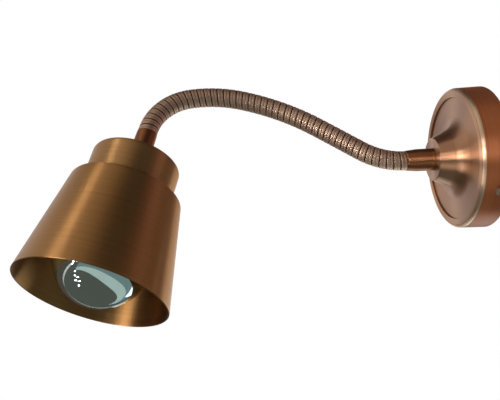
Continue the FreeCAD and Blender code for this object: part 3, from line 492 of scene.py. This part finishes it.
def lathe_brushed(name, light, dark, roughness, patina=9.0, metallic=1.0, lacquer=0.1):
    """Spun plate under lacquer: hair-fine rings round local Z and a slow change of tone."""
    material = bpy.data.materials.new(name)
    tree, add = node_tree(material)
    link = tree.links.new
    where = add("ShaderNodeTexCoord")
    split = add("ShaderNodeSeparateXYZ")
    link(where.outputs["Object"], split.inputs[0])
    flat = add("ShaderNodeVectorMath", operation="MULTIPLY")
    flat.inputs[1].default_value = (1, 1, 0)
    link(where.outputs["Object"], flat.inputs[0])
    reach = add("ShaderNodeVectorMath", operation="LENGTH")
    link(flat.outputs[0], reach.inputs[0])
    run = add("ShaderNodeMath", operation="SUBTRACT")
    link(split.outputs["Z"], run.inputs[0])
    link(reach.outputs["Value"], run.inputs[1])
    turn = add("ShaderNodeCombineXYZ")
    for axis in "XY":
        link(split.outputs[axis], turn.inputs[axis])
    link(run.outputs[0], turn.inputs["Z"])
    spread = add("ShaderNodeVectorMath", operation="MULTIPLY")
    spread.inputs[1].default_value = RING_SPACING
    link(turn.outputs[0], spread.inputs[0])
    rings = add("ShaderNodeTexNoise", Scale=1.0, Detail=3.0, Roughness=0.6)
    link(spread.outputs[0], rings.inputs["Vector"])
    cloud = add("ShaderNodeTexNoise", Scale=patina, Detail=3.0, Roughness=0.5)
    link(where.outputs["Object"], cloud.inputs["Vector"])
    tone = add("ShaderNodeMath", operation="ADD")
    link(rings.outputs["Fac"], tone.inputs[0])
    link(cloud.outputs["Fac"], tone.inputs[1])
    share = add("ShaderNodeMapRange")
    share.inputs["From Min"].default_value = TONE_LOW
    share.inputs["From Max"].default_value = TONE_HIGH
    link(tone.outputs[0], share.inputs["Value"])
    tint = add("ShaderNodeMix", data_type="RGBA")
    tint.inputs[6].default_value = (*dark, 1)
    tint.inputs[7].default_value = (*light, 1)
    link(share.outputs[0], tint.inputs["Factor"])
    rough = add("ShaderNodeMapRange")
    rough.inputs["From Min"].default_value = RING_LOW
    rough.inputs["From Max"].default_value = RING_HIGH
    rough.inputs["To Min"].default_value = roughness * (1 - ROUGH_SHARE)
    rough.inputs["To Max"].default_value = roughness * (1 + ROUGH_SHARE)
    link(rings.outputs["Fac"], rough.inputs["Value"])
    bump = add("ShaderNodeBump", Strength=RING_BUMP, Distance=FINE_RELIEF)
    link(rings.outputs["Fac"], bump.inputs["Height"])
    tangent = add("ShaderNodeTangent", direction_type="RADIAL", axis="Z")
    shader = add("ShaderNodeBsdfPrincipled", Metallic=metallic, Anisotropic=1.0)
    shader.inputs["Anisotropic Rotation"].default_value = ACROSS_RINGS
    shader.inputs["Coat Weight"].default_value = lacquer
    shader.inputs["Coat Roughness"].default_value = LACQUER_ROUGHNESS
    link(tint.outputs[2], shader.inputs["Base Color"])
    link(rough.outputs[0], shader.inputs["Roughness"])
    link(bump.outputs[0], shader.inputs["Normal"])
    link(tangent.outputs[0], shader.inputs["Tangent"])
    out = add("ShaderNodeOutputMaterial")
    link(shader.outputs[0], out.inputs["Surface"])
    return material


drum_copper = lathe_brushed(
    "canopy_drum_copper", (0.36, 0.112, 0.037), (0.21, 0.055, 0.017), 0.50, patina=30.0, metallic=0.7
)
lip_copper = lathe_brushed("canopy_lip_copper", (0.52, 0.30, 0.185), (0.42, 0.23, 0.13), 0.40)
# the pale tone of the rounded front edge is a painted highlight
painted_highlight_edge = lathe_brushed("canopy_rubbed_edge", (0.66, 0.45, 0.30), (0.54, 0.35, 0.22), 0.40)
cone_copper = lathe_brushed(
    "canopy_face_copper", (0.43, 0.215, 0.115), (0.31, 0.15, 0.075), 0.36, lacquer=0.3
)

# the lip's flat front is given a lighter tone than the drum's side, and the rounded edge behind it is painted
# pale, a painted highlight
LIP_FRONT = CANOPY_DEPTH - 0.0001
HIGHLIGHT_EDGE_BACK = CANOPY_DEPTH - 0.0022

drum = turned(
    "canopy_drum_spun",
    rounded(
        [
            (CANOPY_RADIUS, 0.0, CUT_EDGE),
            (CANOPY_FRONT_RADIUS, CANOPY_DEPTH, DRUM_FRONT_ROUND),
            (LIP_RADIUS, CANOPY_DEPTH, LIP_EDGE),
            (LIP_RADIUS, CANOPY_DEPTH - CANOPY_SHEET, CUT_EDGE),
            (CANOPY_FRONT_RADIUS - CANOPY_SHEET, CANOPY_DEPTH - CANOPY_SHEET, LIP_EDGE),
            (CANOPY_RADIUS - CANOPY_SHEET, 0.0, CUT_EDGE),
        ]
    ),
    WALL_TO_ROOM,
)
drum.data.materials.append(drum_copper)
drum.data.materials.append(lip_copper)
drum.data.materials.append(painted_highlight_edge)
for face in drum.data.polygons:
    if face.center.z > LIP_FRONT:
        face.material_index = 1
    # the faces of the rounded outer edge take the pale painted highlight
    elif face.center.z > HIGHLIGHT_EDGE_BACK and face.center.to_2d().length > CONE_DISC_RADIUS:
        face.material_index = 2
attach(drum, "root")
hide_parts("canopy_drum")

cone_front = CANOPY_DEPTH - CANOPY_SHEET
cone_back = cone_front - CANOPY_SHEET
cone_top = CANOPY_DEPTH + CONE_STAND
cone_inset = CANOPY_SHEET / math.cos(math.atan(CONE_SLOPE))
foot_front = CONE_COLLAR_RADIUS + (cone_top - cone_front) * CONE_SLOPE
foot_back = CONE_COLLAR_RADIUS + (cone_top - cone_back) * CONE_SLOPE - cone_inset
collar_inside = CONE_COLLAR_RADIUS + CONE_TOP_SHEET * CONE_SLOPE - cone_inset
cone = turned(
    "canopy_cone_spun",
    rounded(
        [
            (CONE_DISC_RADIUS, cone_front, 0.0),
            (foot_front, cone_front, CONE_SWEEP),
            (CONE_COLLAR_RADIUS, cone_top, COLLAR_ROUND),
            (TUBE_HOLE, cone_top, 0.0),
            (TUBE_HOLE, cone_top - CONE_TOP_SHEET, 0.0),
            (collar_inside, cone_top - CONE_TOP_SHEET, 0.0),
            (foot_back, cone_back, CONE_SWEEP + CANOPY_SHEET),
            (CONE_DISC_RADIUS, cone_back, 0.0),
        ],
        smooth=CONE_SMOOTH,
    ),
    WALL_TO_ROOM,
)
cone.data.materials.append(cone_copper)
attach(cone, "root")
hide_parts("canopy_cone")

# ---------------------------------------------------------------- sleeves of the neck
# Each end of the neck is crimped into a turned bronze sleeve, screwed down on the collar or the cap
# by a hollow threaded tube. The wall sleeve is nearly straight, the head sleeve tapers all along.

SLEEVE_SLIM = 0.0070
WALL_SLEEVE_LENGTH = 0.020
WALL_SLEEVE_RADIUS = 0.0079
HEAD_SLEEVE_LENGTH = 0.024
HEAD_SLEEVE_RADIUS = 0.0075
SPIGOT_RADIUS = 0.0045
SPIGOT_LENGTH = 0.0025
SLEEVE_BORE = 0.00395
WALL_SHOULDER = 0.012
WALL_RING = 0.0022
HEAD_SHOULDER = 0.006
HEAD_RING = 0.0016
RING_CUT = 0.0003
RING_BEVEL = 0.0002
CUT_END = 0.0005
CUT_RISE = 0.0008
SHOULDER_SWEEP = 0.012
SLEEVE_END_ROUND = 0.0004
FOOT_TAPER = 0.00005
FOOT_ROUND = 0.0002
SHOULDER_TAPER = 0.0001
SLEEVE_AROUND = 96

# the head's own frame: its origin at the middle of the mouth, and its Z up through the cap
bulb_slide = next(joint for joint in frame["joints"] if joint["name"] == "bulb_unscrew")
out_of_mouth = Vector(bulb_slide["axis"]).normalized()
SHADE_HEIGHT = 0.074
CAP_HEIGHT = 0.025
MOUTH_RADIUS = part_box("shade")[1].x
shade_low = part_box("shade")[0]
mouth = Vector(
    (
        0,
        shade_low.y + MOUTH_RADIUS * math.sqrt(1 - out_of_mouth.y**2),
        shade_low.z + MOUTH_RADIUS * math.sqrt(1 - out_of_mouth.z**2),
    )
)
HEAD_TILT = math.atan2(out_of_mouth.y, -out_of_mouth.z)
HEAD = Matrix.Translation(mouth) @ Matrix.Rotation(HEAD_TILT, 4, "X")


def raised(place, height):
    """A frame moved up along its own Z."""
    return place @ Matrix.Translation((0, 0, height))


sleeve_bronze = lathe_brushed(
    "sleeve_bronze", (0.36, 0.145, 0.06), (0.24, 0.09, 0.034), 0.44, patina=60.0
)


def sleeve(name, place, length, wide, shoulder, ring):
    """A sleeve whose foot carries a narrow turned ring above a thin groove."""
    piece = turned(
        name,
        rounded(
            [
                (SLEEVE_BORE, 0.0, 0.0),
                (wide, 0.0, CUT_EDGE),
                (wide, ring, CUT_EDGE),
                (wide - RING_CUT, ring + RING_BEVEL, 0.0),
                (wide - RING_CUT, ring + CUT_END, 0.0),
                (wide - FOOT_TAPER, ring + CUT_RISE, FOOT_ROUND),
                (wide - SHOULDER_TAPER, shoulder, SHOULDER_SWEEP),
                (SLEEVE_SLIM, length, SLEEVE_END_ROUND),
                (SPIGOT_RADIUS, length, 0.0),
                (SPIGOT_RADIUS, length + SPIGOT_LENGTH, 0.0),
                (SLEEVE_BORE, length + SPIGOT_LENGTH, 0.0),
            ]
        ),
        place,
        around=SLEEVE_AROUND,
    )
    piece.data.materials.append(sleeve_bronze)
    return piece


on_collar = raised(WALL_TO_ROOM, cone_top)
wall_sleeve = sleeve(
    "wall_sleeve_turned", on_collar, WALL_SLEEVE_LENGTH, WALL_SLEEVE_RADIUS, WALL_SHOULDER, WALL_RING
)
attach(wall_sleeve, "root")
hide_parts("wall_sleeve")

on_cap = raised(HEAD, SHADE_HEIGHT + CAP_HEIGHT)
head_sleeve = sleeve(
    "head_sleeve_turned", on_cap, HEAD_SLEEVE_LENGTH, HEAD_SLEEVE_RADIUS, HEAD_SHOULDER, HEAD_RING
)
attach(head_sleeve, "head")
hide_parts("head_sleeve")

# ---------------------------------------------------------------- neck
# The gooseneck is a round spring-steel wire wound into a tube, with a second wire wedged into its
# outer groove. Each turn has two low ridges, a thin line and a groove. It is plated bronze, with
# painted shade dark in its grooves and a painted highlight pale on its ridges, and is held only by
# the sleeves at its ends.

NECK_RADIUS = 0.0068
NECK_TURNS = 45
GROOVE_DEPTH = 0.00038
GROOVE_AT = 0.26
GROOVE_HALF = 0.15
LINE_DEPTH = 0.00010
LINE_AT = 0.74
LINE_HALF = 0.12
RINGS_PER_TURN = 26
NECK_AROUND = 44
BLEND_INSET = 0.0017
WALL_STRAIGHT = 0.0005
HEAD_STRAIGHT = 0.0027
NO_TURN = 1e-9
TRIALS = 2000

# from the collar to the cap: a straight span's length, or a bend's radius and its turn in degrees
STRAIGHT = 0.0
NECK_PATH = [
    (WALL_SLEEVE_LENGTH + WALL_STRAIGHT, STRAIGHT),
    (0.0492, 37.2),
    (0.0340, STRAIGHT),
    (0.1700, -20.0),
    (0.0885, -24.3),
    (0.0380, -64.64),
    (HEAD_STRAIGHT + HEAD_SLEEVE_LENGTH, STRAIGHT),
]


def path_spans():
    """The neck's path as (length, turn), the turn now in radians."""
    return [
        (size if turn == STRAIGHT else size * math.radians(abs(turn)), math.radians(turn))
        for size, turn in NECK_PATH
    ]


def along(distance):
    """A point of the neck's middle line and its heading, in the plane X = 0."""
    point, heading, left = Vector((0, -cone_top, 0)), 0.0, distance
    spans = path_spans()
    for number, (length, turn) in enumerate(spans):
        step = left if number == len(spans) - 1 else min(left, length)
        angle = turn * step / length
        if abs(angle) < NO_TURN:
            ahead, aside = step, 0.0
        else:
            radius = step / angle
            ahead, aside = radius * math.sin(angle), radius * (1 - math.cos(angle))
        forward = Vector((0, -math.cos(heading), math.sin(heading)))
        upward = Vector((0, math.sin(heading), math.cos(heading)))
        point = point + forward * ahead + upward * aside
        heading += angle
        left -= step
        if left <= 0:
            break
    return point, heading


path_length = sum(length for length, turn in path_spans())
neck_start = WALL_SLEEVE_LENGTH
neck_end = path_length - HEAD_SLEEVE_LENGTH
neck_pitch = (neck_end - neck_start) / NECK_TURNS
neck_hinges = [joint for joint in frame["joints"] if joint["type"] == "hinge"]


def distance_of(place):
    """How far along the neck a hinge sits."""
    trials = [neck_start + (neck_end - neck_start) * i / TRIALS for i in range(TRIALS + 1)]
    return min(trials, key=lambda s: (along(s)[0] - place).length)


hinge_stops = [distance_of(Vector(hinge["pos_m"])) for hinge in neck_hinges]


def bell(turn, middle, half):
    """A smooth dip centred on one place of a turn."""
    away = abs((turn - middle + 0.5) % 1.0 - 0.5)
    return 0.5 + 0.5 * math.cos(math.pi * min(1.0, away / half))


def neck_radius(turn):
    """The winding's outline over one turn: two low ridges, a thin line between them and the groove."""
    groove = GROOVE_DEPTH * bell(turn, GROOVE_AT, GROOVE_HALF)
    return NECK_RADIUS - groove - LINE_DEPTH * bell(turn, LINE_AT, LINE_HALF)


# how the wear varies along the wire, then the tones from the painted shade in the groove to the painted highlight
# on the crest
WEAR_SCALE = 90.0
WEAR_SHARE = 0.22
WEAR_BUMP = 0.06
WIRE_SHADE_AND_HIGHLIGHT_TONES = [
    (0.25, (0.030, 0.012, 0.007)),
    (0.82, (0.20, 0.11, 0.070)),
    (1.0, (0.46, 0.30, 0.215)),
]
WIRE_ROUGHNESS = (0.42, 0.56)
WIRE_METALLIC = 0.9


def ridge_shaded_bronze():
    """Plated wire: painted shade, dark, in the groove, and a painted highlight, pale, where the ridges stand
    highest, both varied by wear.
    """
    material = bpy.data.materials.new("winding_bronze")
    tree, add = node_tree(material)
    link = tree.links.new
    height = add("ShaderNodeAttribute", attribute_name="ridge")
    wear = add("ShaderNodeTexNoise", Scale=WEAR_SCALE, Detail=3.0, Roughness=0.5)
    where = add("ShaderNodeTexCoord")
    link(where.outputs["Object"], wear.inputs["Vector"])
    wear_and_ridge_shading = add("ShaderNodeMath", operation="MULTIPLY_ADD")
    wear_and_ridge_shading.inputs[1].default_value = WEAR_SHARE
    link(wear.outputs["Fac"], wear_and_ridge_shading.inputs[0])
    link(height.outputs["Fac"], wear_and_ridge_shading.inputs[2])
    ramp = add("ShaderNodeValToRGB")
    fill_ramp(ramp, WIRE_SHADE_AND_HIGHLIGHT_TONES)
    link(wear_and_ridge_shading.outputs[0], ramp.inputs[0])
    rough = add("ShaderNodeMapRange")
    rough.inputs["To Min"].default_value = WIRE_ROUGHNESS[0]
    rough.inputs["To Max"].default_value = WIRE_ROUGHNESS[1]
    link(wear.outputs["Fac"], rough.inputs["Value"])
    bump = add("ShaderNodeBump", Strength=WEAR_BUMP, Distance=FINE_RELIEF)
    link(wear.outputs["Fac"], bump.inputs["Height"])
    shader = add("ShaderNodeBsdfPrincipled", Metallic=WIRE_METALLIC)
    link(ramp.outputs["Color"], shader.inputs["Base Color"])
    link(rough.outputs[0], shader.inputs["Roughness"])
    link(bump.outputs[0], shader.inputs["Normal"])
    out = add("ShaderNodeOutputMaterial")
    link(shader.outputs[0], out.inputs["Surface"])
    return material


winding_bronze = ridge_shaded_bronze()


def neck_length(name, low, high):
    """A stretch of the winding as one skin. Neighbours share their end rings exactly."""
    count = max(2, round((high - low) / neck_pitch * RINGS_PER_TURN))
    vertices, ridges, faces = [], [], []
    for i in range(count + 1):
        distance = low + (high - low) * i / count
        middle, heading = along(distance)
        upward = Vector((0, math.sin(heading), math.cos(heading)))
        for k in range(NECK_AROUND):
            angle = 2 * math.pi * k / NECK_AROUND
            turn = (distance - hinge_stops[0]) / neck_pitch - angle / (2 * math.pi)
            radius = neck_radius(turn % 1.0)
            side = Vector((-1, 0, 0)) * math.cos(angle) - upward * math.sin(angle)
            vertices.append(middle + side * radius)
            ridges.append(1 - (NECK_RADIUS - radius) / GROOVE_DEPTH)
    for i in range(count):
        for k in range(NECK_AROUND):
            a, b = i * NECK_AROUND + k, i * NECK_AROUND + (k + 1) % NECK_AROUND
            faces.append((a, a + NECK_AROUND, b + NECK_AROUND, b))
    mesh = bpy.data.meshes.new(name)
    mesh.from_pydata([tuple(v) for v in vertices], [], faces)
    # the ridge height drives the winding's painted shade in the groove and its painted highlight on the ridges
    ridge = mesh.attributes.new("ridge", "FLOAT", "POINT")
    ridge.data.foreach_set("value", ridges)
    for face in mesh.polygons:
        face.use_smooth = True
    mesh.materials.append(winding_bronze)
    piece = bpy.data.objects.new(name, mesh)
    bpy.context.scene.collection.objects.link(piece)
    return piece


seams = [neck_start]
seams += [(a + b) / 2 for a, b in zip(hinge_stops, hinge_stops[1:])]
seams += [neck_end]
for number, hinge in enumerate(neck_hinges):
    low, high = seams[number], seams[number + 1]
    skin = neck_length("neck_skin_%02d" % (number + 1), low, high)
    along(low + BLEND_INSET)[0]
    along(high - BLEND_INSET)[0]
    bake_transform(skin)
    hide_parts("neck_winding_%02d" % (number + 1))
    if hinge is neck_hinges[-1]:
        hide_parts("neck_winding_%02d" % (number + 2))

# ---------------------------------------------------------------- cap and shade
# Two more spun pressings: a short cup on top, and the cone of the shade with a rounded shoulder and
# a thin trimmed rim. The plate is goldener here; towards the wall it shows copper only by reflection.

CAP_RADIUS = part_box("shade_cap")[1].x
CAP_SHEET = 0.0010
CAP_ROUND = 0.0034
SHADE_TOP_RADIUS = 0.0374
SHADE_SHEET = 0.0010
SHADE_ROUND = 0.0032
SHADE_HOLE = 0.0197
SHADE_AROUND = 256

shade_copper = lathe_brushed("shade_copper", (0.42, 0.215, 0.078), (0.32, 0.15, 0.048), 0.40)
cap_copper = lathe_brushed("cap_copper", (0.48, 0.26, 0.10), (0.36, 0.18, 0.065), 0.40)

shade = turned(
    "shade_spun",
    rounded(
        [
            (MOUTH_RADIUS, 0.0, CUT_EDGE),
            (SHADE_TOP_RADIUS, SHADE_HEIGHT, SHADE_ROUND),
            (SHADE_HOLE, SHADE_HEIGHT, 0.0),
            (SHADE_HOLE, SHADE_HEIGHT - SHADE_SHEET, 0.0),
            (SHADE_TOP_RADIUS - SHADE_SHEET, SHADE_HEIGHT - SHADE_SHEET, SHADE_ROUND - SHADE_SHEET),
            (MOUTH_RADIUS - SHADE_SHEET, 0.0, CUT_EDGE),
        ]
    ),
    HEAD,
    around=SHADE_AROUND,
)
shade.data.materials.append(shade_copper)
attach(shade, "head")
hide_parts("shade")

cap_top = SHADE_HEIGHT + CAP_HEIGHT
cap = turned(
    "cap_spun",
    rounded(
        [
            (CAP_RADIUS, SHADE_HEIGHT, CUT_EDGE),
            (CAP_RADIUS, cap_top, CAP_ROUND),
            (TUBE_HOLE, cap_top, 0.0),
            (TUBE_HOLE, cap_top - CAP_SHEET, 0.0),
            (CAP_RADIUS - CAP_SHEET, cap_top - CAP_SHEET, CAP_ROUND - CAP_SHEET),
            (CAP_RADIUS - CAP_SHEET, SHADE_HEIGHT, CUT_EDGE),
        ]
    ),
    HEAD,
)
cap.data.materials.append(cap_copper)
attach(cap, "head")
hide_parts("shade_cap")

# ---------------------------------------------------------------- bulb
# A globe bulb blown in clear glass, silvered inside over its crown so that only a thin clear band
# shows round it. A rolled aluminium screw base carries black glass and a tin contact.

BULB_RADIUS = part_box("bulb_glass")[1].x
BULB_PROUD = 0.0070
BULB_NECK_RADIUS = 0.0113
BULB_GLASS = 0.0008
BULB_NECK_TOP = 0.0573
SWEEP_FROM = 0.30
SWEEP_REACH = 0.009
SWEEP_BULGE = 0.0075
SWEEP_STEPS = 12
GLOBE_STEPS = 60
MIRROR_GAP = 0.0001
MIRROR_SHEET = 0.0004
MIRROR_RIM = 0.0040
MIRROR_STEPS = 48
BULB_AROUND = 128
bulb_middle = BULB_RADIUS - BULB_PROUD


def arc(radius, low, high, steps):
    """Points of a ball's outline between two angles, measured up from the crown."""
    return [
        Vector((radius * math.sin(a), bulb_middle - radius * math.cos(a)))
        for a in [low + (high - low) * i / steps for i in range(steps + 1)]
    ]


def bulb_outline(radius, neck, top):
    """The globe from its crown up to its neck, the two joined by a soft sweep."""
    meet = math.pi - math.asin(neck / radius)
    points = arc(radius, 0, meet - SWEEP_FROM, GLOBE_STEPS)
    start = points[-1]
    end = Vector((neck, bulb_middle + radius * math.cos(math.pi - meet) + SWEEP_REACH))
    corner = Vector((neck, end.y - SWEEP_BULGE))
    for i in range(1, SWEEP_STEPS + 1):
        t = i / SWEEP_STEPS
        points.append(start * (1 - t) ** 2 + corner * 2 * t * (1 - t) + end * t**2)
    points.append(Vector((neck, top)))
    return points


def clear_glass():
    """Thin blown glass, a trace green in its thickness."""
    material = bpy.data.materials.new("bulb_clear_glass")
    tree, add = node_tree(material)
    shader = add("ShaderNodeBsdfPrincipled", Roughness=0.015, IOR=1.5)
    shader.inputs["Base Color"].default_value = (0.93, 0.98, 0.97, 1)
    shader.inputs["Transmission Weight"].default_value = 1.0
    out = add("ShaderNodeOutputMaterial")
    tree.links.new(shader.outputs[0], out.inputs["Surface"])
    return material


def silvering():
    """Evaporated mirror: cool grey-green, with faint clouding from its making."""
    material = bpy.data.materials.new("bulb_silvering")
    tree, add = node_tree(material)
    link = tree.links.new
    where = add("ShaderNodeTexCoord")
    cloud = add("ShaderNodeTexNoise", Scale=60.0, Detail=3.0)
    link(where.outputs["Object"], cloud.inputs["Vector"])
    tint = add("ShaderNodeMix", data_type="RGBA")
    tint.inputs[6].default_value = (0.62, 0.68, 0.66, 1)
    tint.inputs[7].default_value = (0.74, 0.79, 0.77, 1)
    link(cloud.outputs["Fac"], tint.inputs["Factor"])
    shader = add("ShaderNodeBsdfPrincipled", Metallic=1.0, Roughness=0.03)
    link(tint.outputs[2], shader.inputs["Base Color"])
    out = add("ShaderNodeOutputMaterial")
    link(shader.outputs[0], out.inputs["Surface"])
    return material


glass_inside_top = BULB_NECK_TOP - BULB_GLASS
glass_outside = bulb_outline(BULB_RADIUS, BULB_NECK_RADIUS, BULB_NECK_TOP)
glass_inside = bulb_outline(BULB_RADIUS - BULB_GLASS, BULB_NECK_RADIUS - BULB_GLASS, glass_inside_top)
glass_top = [Vector((0, BULB_NECK_TOP)), Vector((0, glass_inside_top))]
glass = turned(
    "bulb_globe", glass_outside + glass_top + glass_inside[::-1], HEAD, around=BULB_AROUND
)
glass.data.materials.append(clear_glass())
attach(glass, "bulb")
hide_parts("bulb_glass")

mirror_radius = BULB_RADIUS - BULB_GLASS - MIRROR_GAP
mirror_edge = math.acos(MIRROR_RIM / mirror_radius)
mirror_outside = arc(mirror_radius, 0, mirror_edge, MIRROR_STEPS)
mirror_inside = arc(mirror_radius - MIRROR_SHEET, 0, mirror_edge, MIRROR_STEPS)
mirror = turned(
    "bulb_crown_silvering", mirror_outside + mirror_inside[::-1], HEAD, around=BULB_AROUND
)
mirror.data.materials.append(silvering())
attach(mirror, "bulb")
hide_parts("bulb_mirror")

# ---------------------------------------------------------------- lampholder and the hidden parts
# Inside the head are a black moulded lampholder and its brass shell and contacts; inside the canopy
# are the plate, the terminal block and the leads. They keep the shapes of the solid model.

GRAIN_BUMP = 0.05
GRAIN_ROUGH_SHARE = 0.2


def plain_finish(name, light, dark, roughness, metallic=0.0, scale=120.0):
    """A moulded, plated or rubber surface with a slow change of tone and a faint grain."""
    material = bpy.data.materials.new(name)
    tree, add = node_tree(material)
    link = tree.links.new
    where = add("ShaderNodeTexCoord")
    cloud = add("ShaderNodeTexNoise", Scale=scale, Detail=4.0, Roughness=0.6)
    link(where.outputs["Object"], cloud.inputs["Vector"])
    tint = add("ShaderNodeMix", data_type="RGBA")
    tint.inputs[6].default_value = (*dark, 1)
    tint.inputs[7].default_value = (*light, 1)
    link(cloud.outputs["Fac"], tint.inputs["Factor"])
    rough = add("ShaderNodeMapRange")
    rough.inputs["To Min"].default_value = roughness * (1 - GRAIN_ROUGH_SHARE)
    rough.inputs["To Max"].default_value = roughness * (1 + GRAIN_ROUGH_SHARE)
    link(cloud.outputs["Fac"], rough.inputs["Value"])
    bump = add("ShaderNodeBump", Strength=GRAIN_BUMP, Distance=FINE_RELIEF)
    link(cloud.outputs["Fac"], bump.inputs["Height"])
    shader = add("ShaderNodeBsdfPrincipled", Metallic=metallic)
    link(tint.outputs[2], shader.inputs["Base Color"])
    link(rough.outputs[0], shader.inputs["Roughness"])
    link(bump.outputs[0], shader.inputs["Normal"])
    out = add("ShaderNodeOutputMaterial")
    link(shader.outputs[0], out.inputs["Surface"])
    return material


# each finish: its light and dark tone and roughness, then how metallic it is and its grain's scale
FINISHES = {
    "cable_sheath": ((0.05, 0.048, 0.045), (0.03, 0.028, 0.027), 0.6),
    "zinc_steel": ((0.68, 0.68, 0.66), (0.48, 0.49, 0.49), 0.35, 1.0),
    "brass_screws": ((0.62, 0.42, 0.30), (0.44, 0.27, 0.17), 0.4, 1.0),
    "bare_brass": ((0.80, 0.60, 0.30), (0.62, 0.42, 0.18), 0.28, 1.0),
    "terminal_plastic": ((0.84, 0.83, 0.79), (0.78, 0.77, 0.72), 0.45),
    "brown_lead": ((0.24, 0.12, 0.06), (0.17, 0.08, 0.04), 0.4),
    "blue_lead": ((0.08, 0.22, 0.55), (0.05, 0.15, 0.42), 0.4),
    "green_lead": ((0.42, 0.55, 0.08), (0.08, 0.36, 0.08), 0.4, 0.0, 300.0),
    "holder_black": ((0.035, 0.033, 0.032), (0.02, 0.019, 0.019), 0.3),
    "holder_ceramic": ((0.86, 0.85, 0.80), (0.78, 0.76, 0.70), 0.2),
    "stem_glass": ((0.85, 0.90, 0.89), (0.75, 0.82, 0.80), 0.1),
    "filament_wire": ((0.80, 0.60, 0.25), (0.60, 0.42, 0.15), 0.3, 1.0),
    "base_aluminium": ((0.80, 0.80, 0.80), (0.62, 0.62, 0.63), 0.3, 1.0),
    "base_black_glass": ((0.03, 0.03, 0.035), (0.02, 0.02, 0.02), 0.12),
    "base_tin": ((0.74, 0.74, 0.72), (0.55, 0.55, 0.53), 0.32, 1.0),
}
finishes = {name: plain_finish(name, *looks) for name, looks in FINISHES.items()}
for part in frame["record"]["subparts"]:
    if part["material_slot"] in finishes:
        hidden_piece = frame["nodes"][part["node"]]
        hidden_piece.data.materials.clear()
        hidden_piece.data.materials.append(finishes[part["material_slot"]])
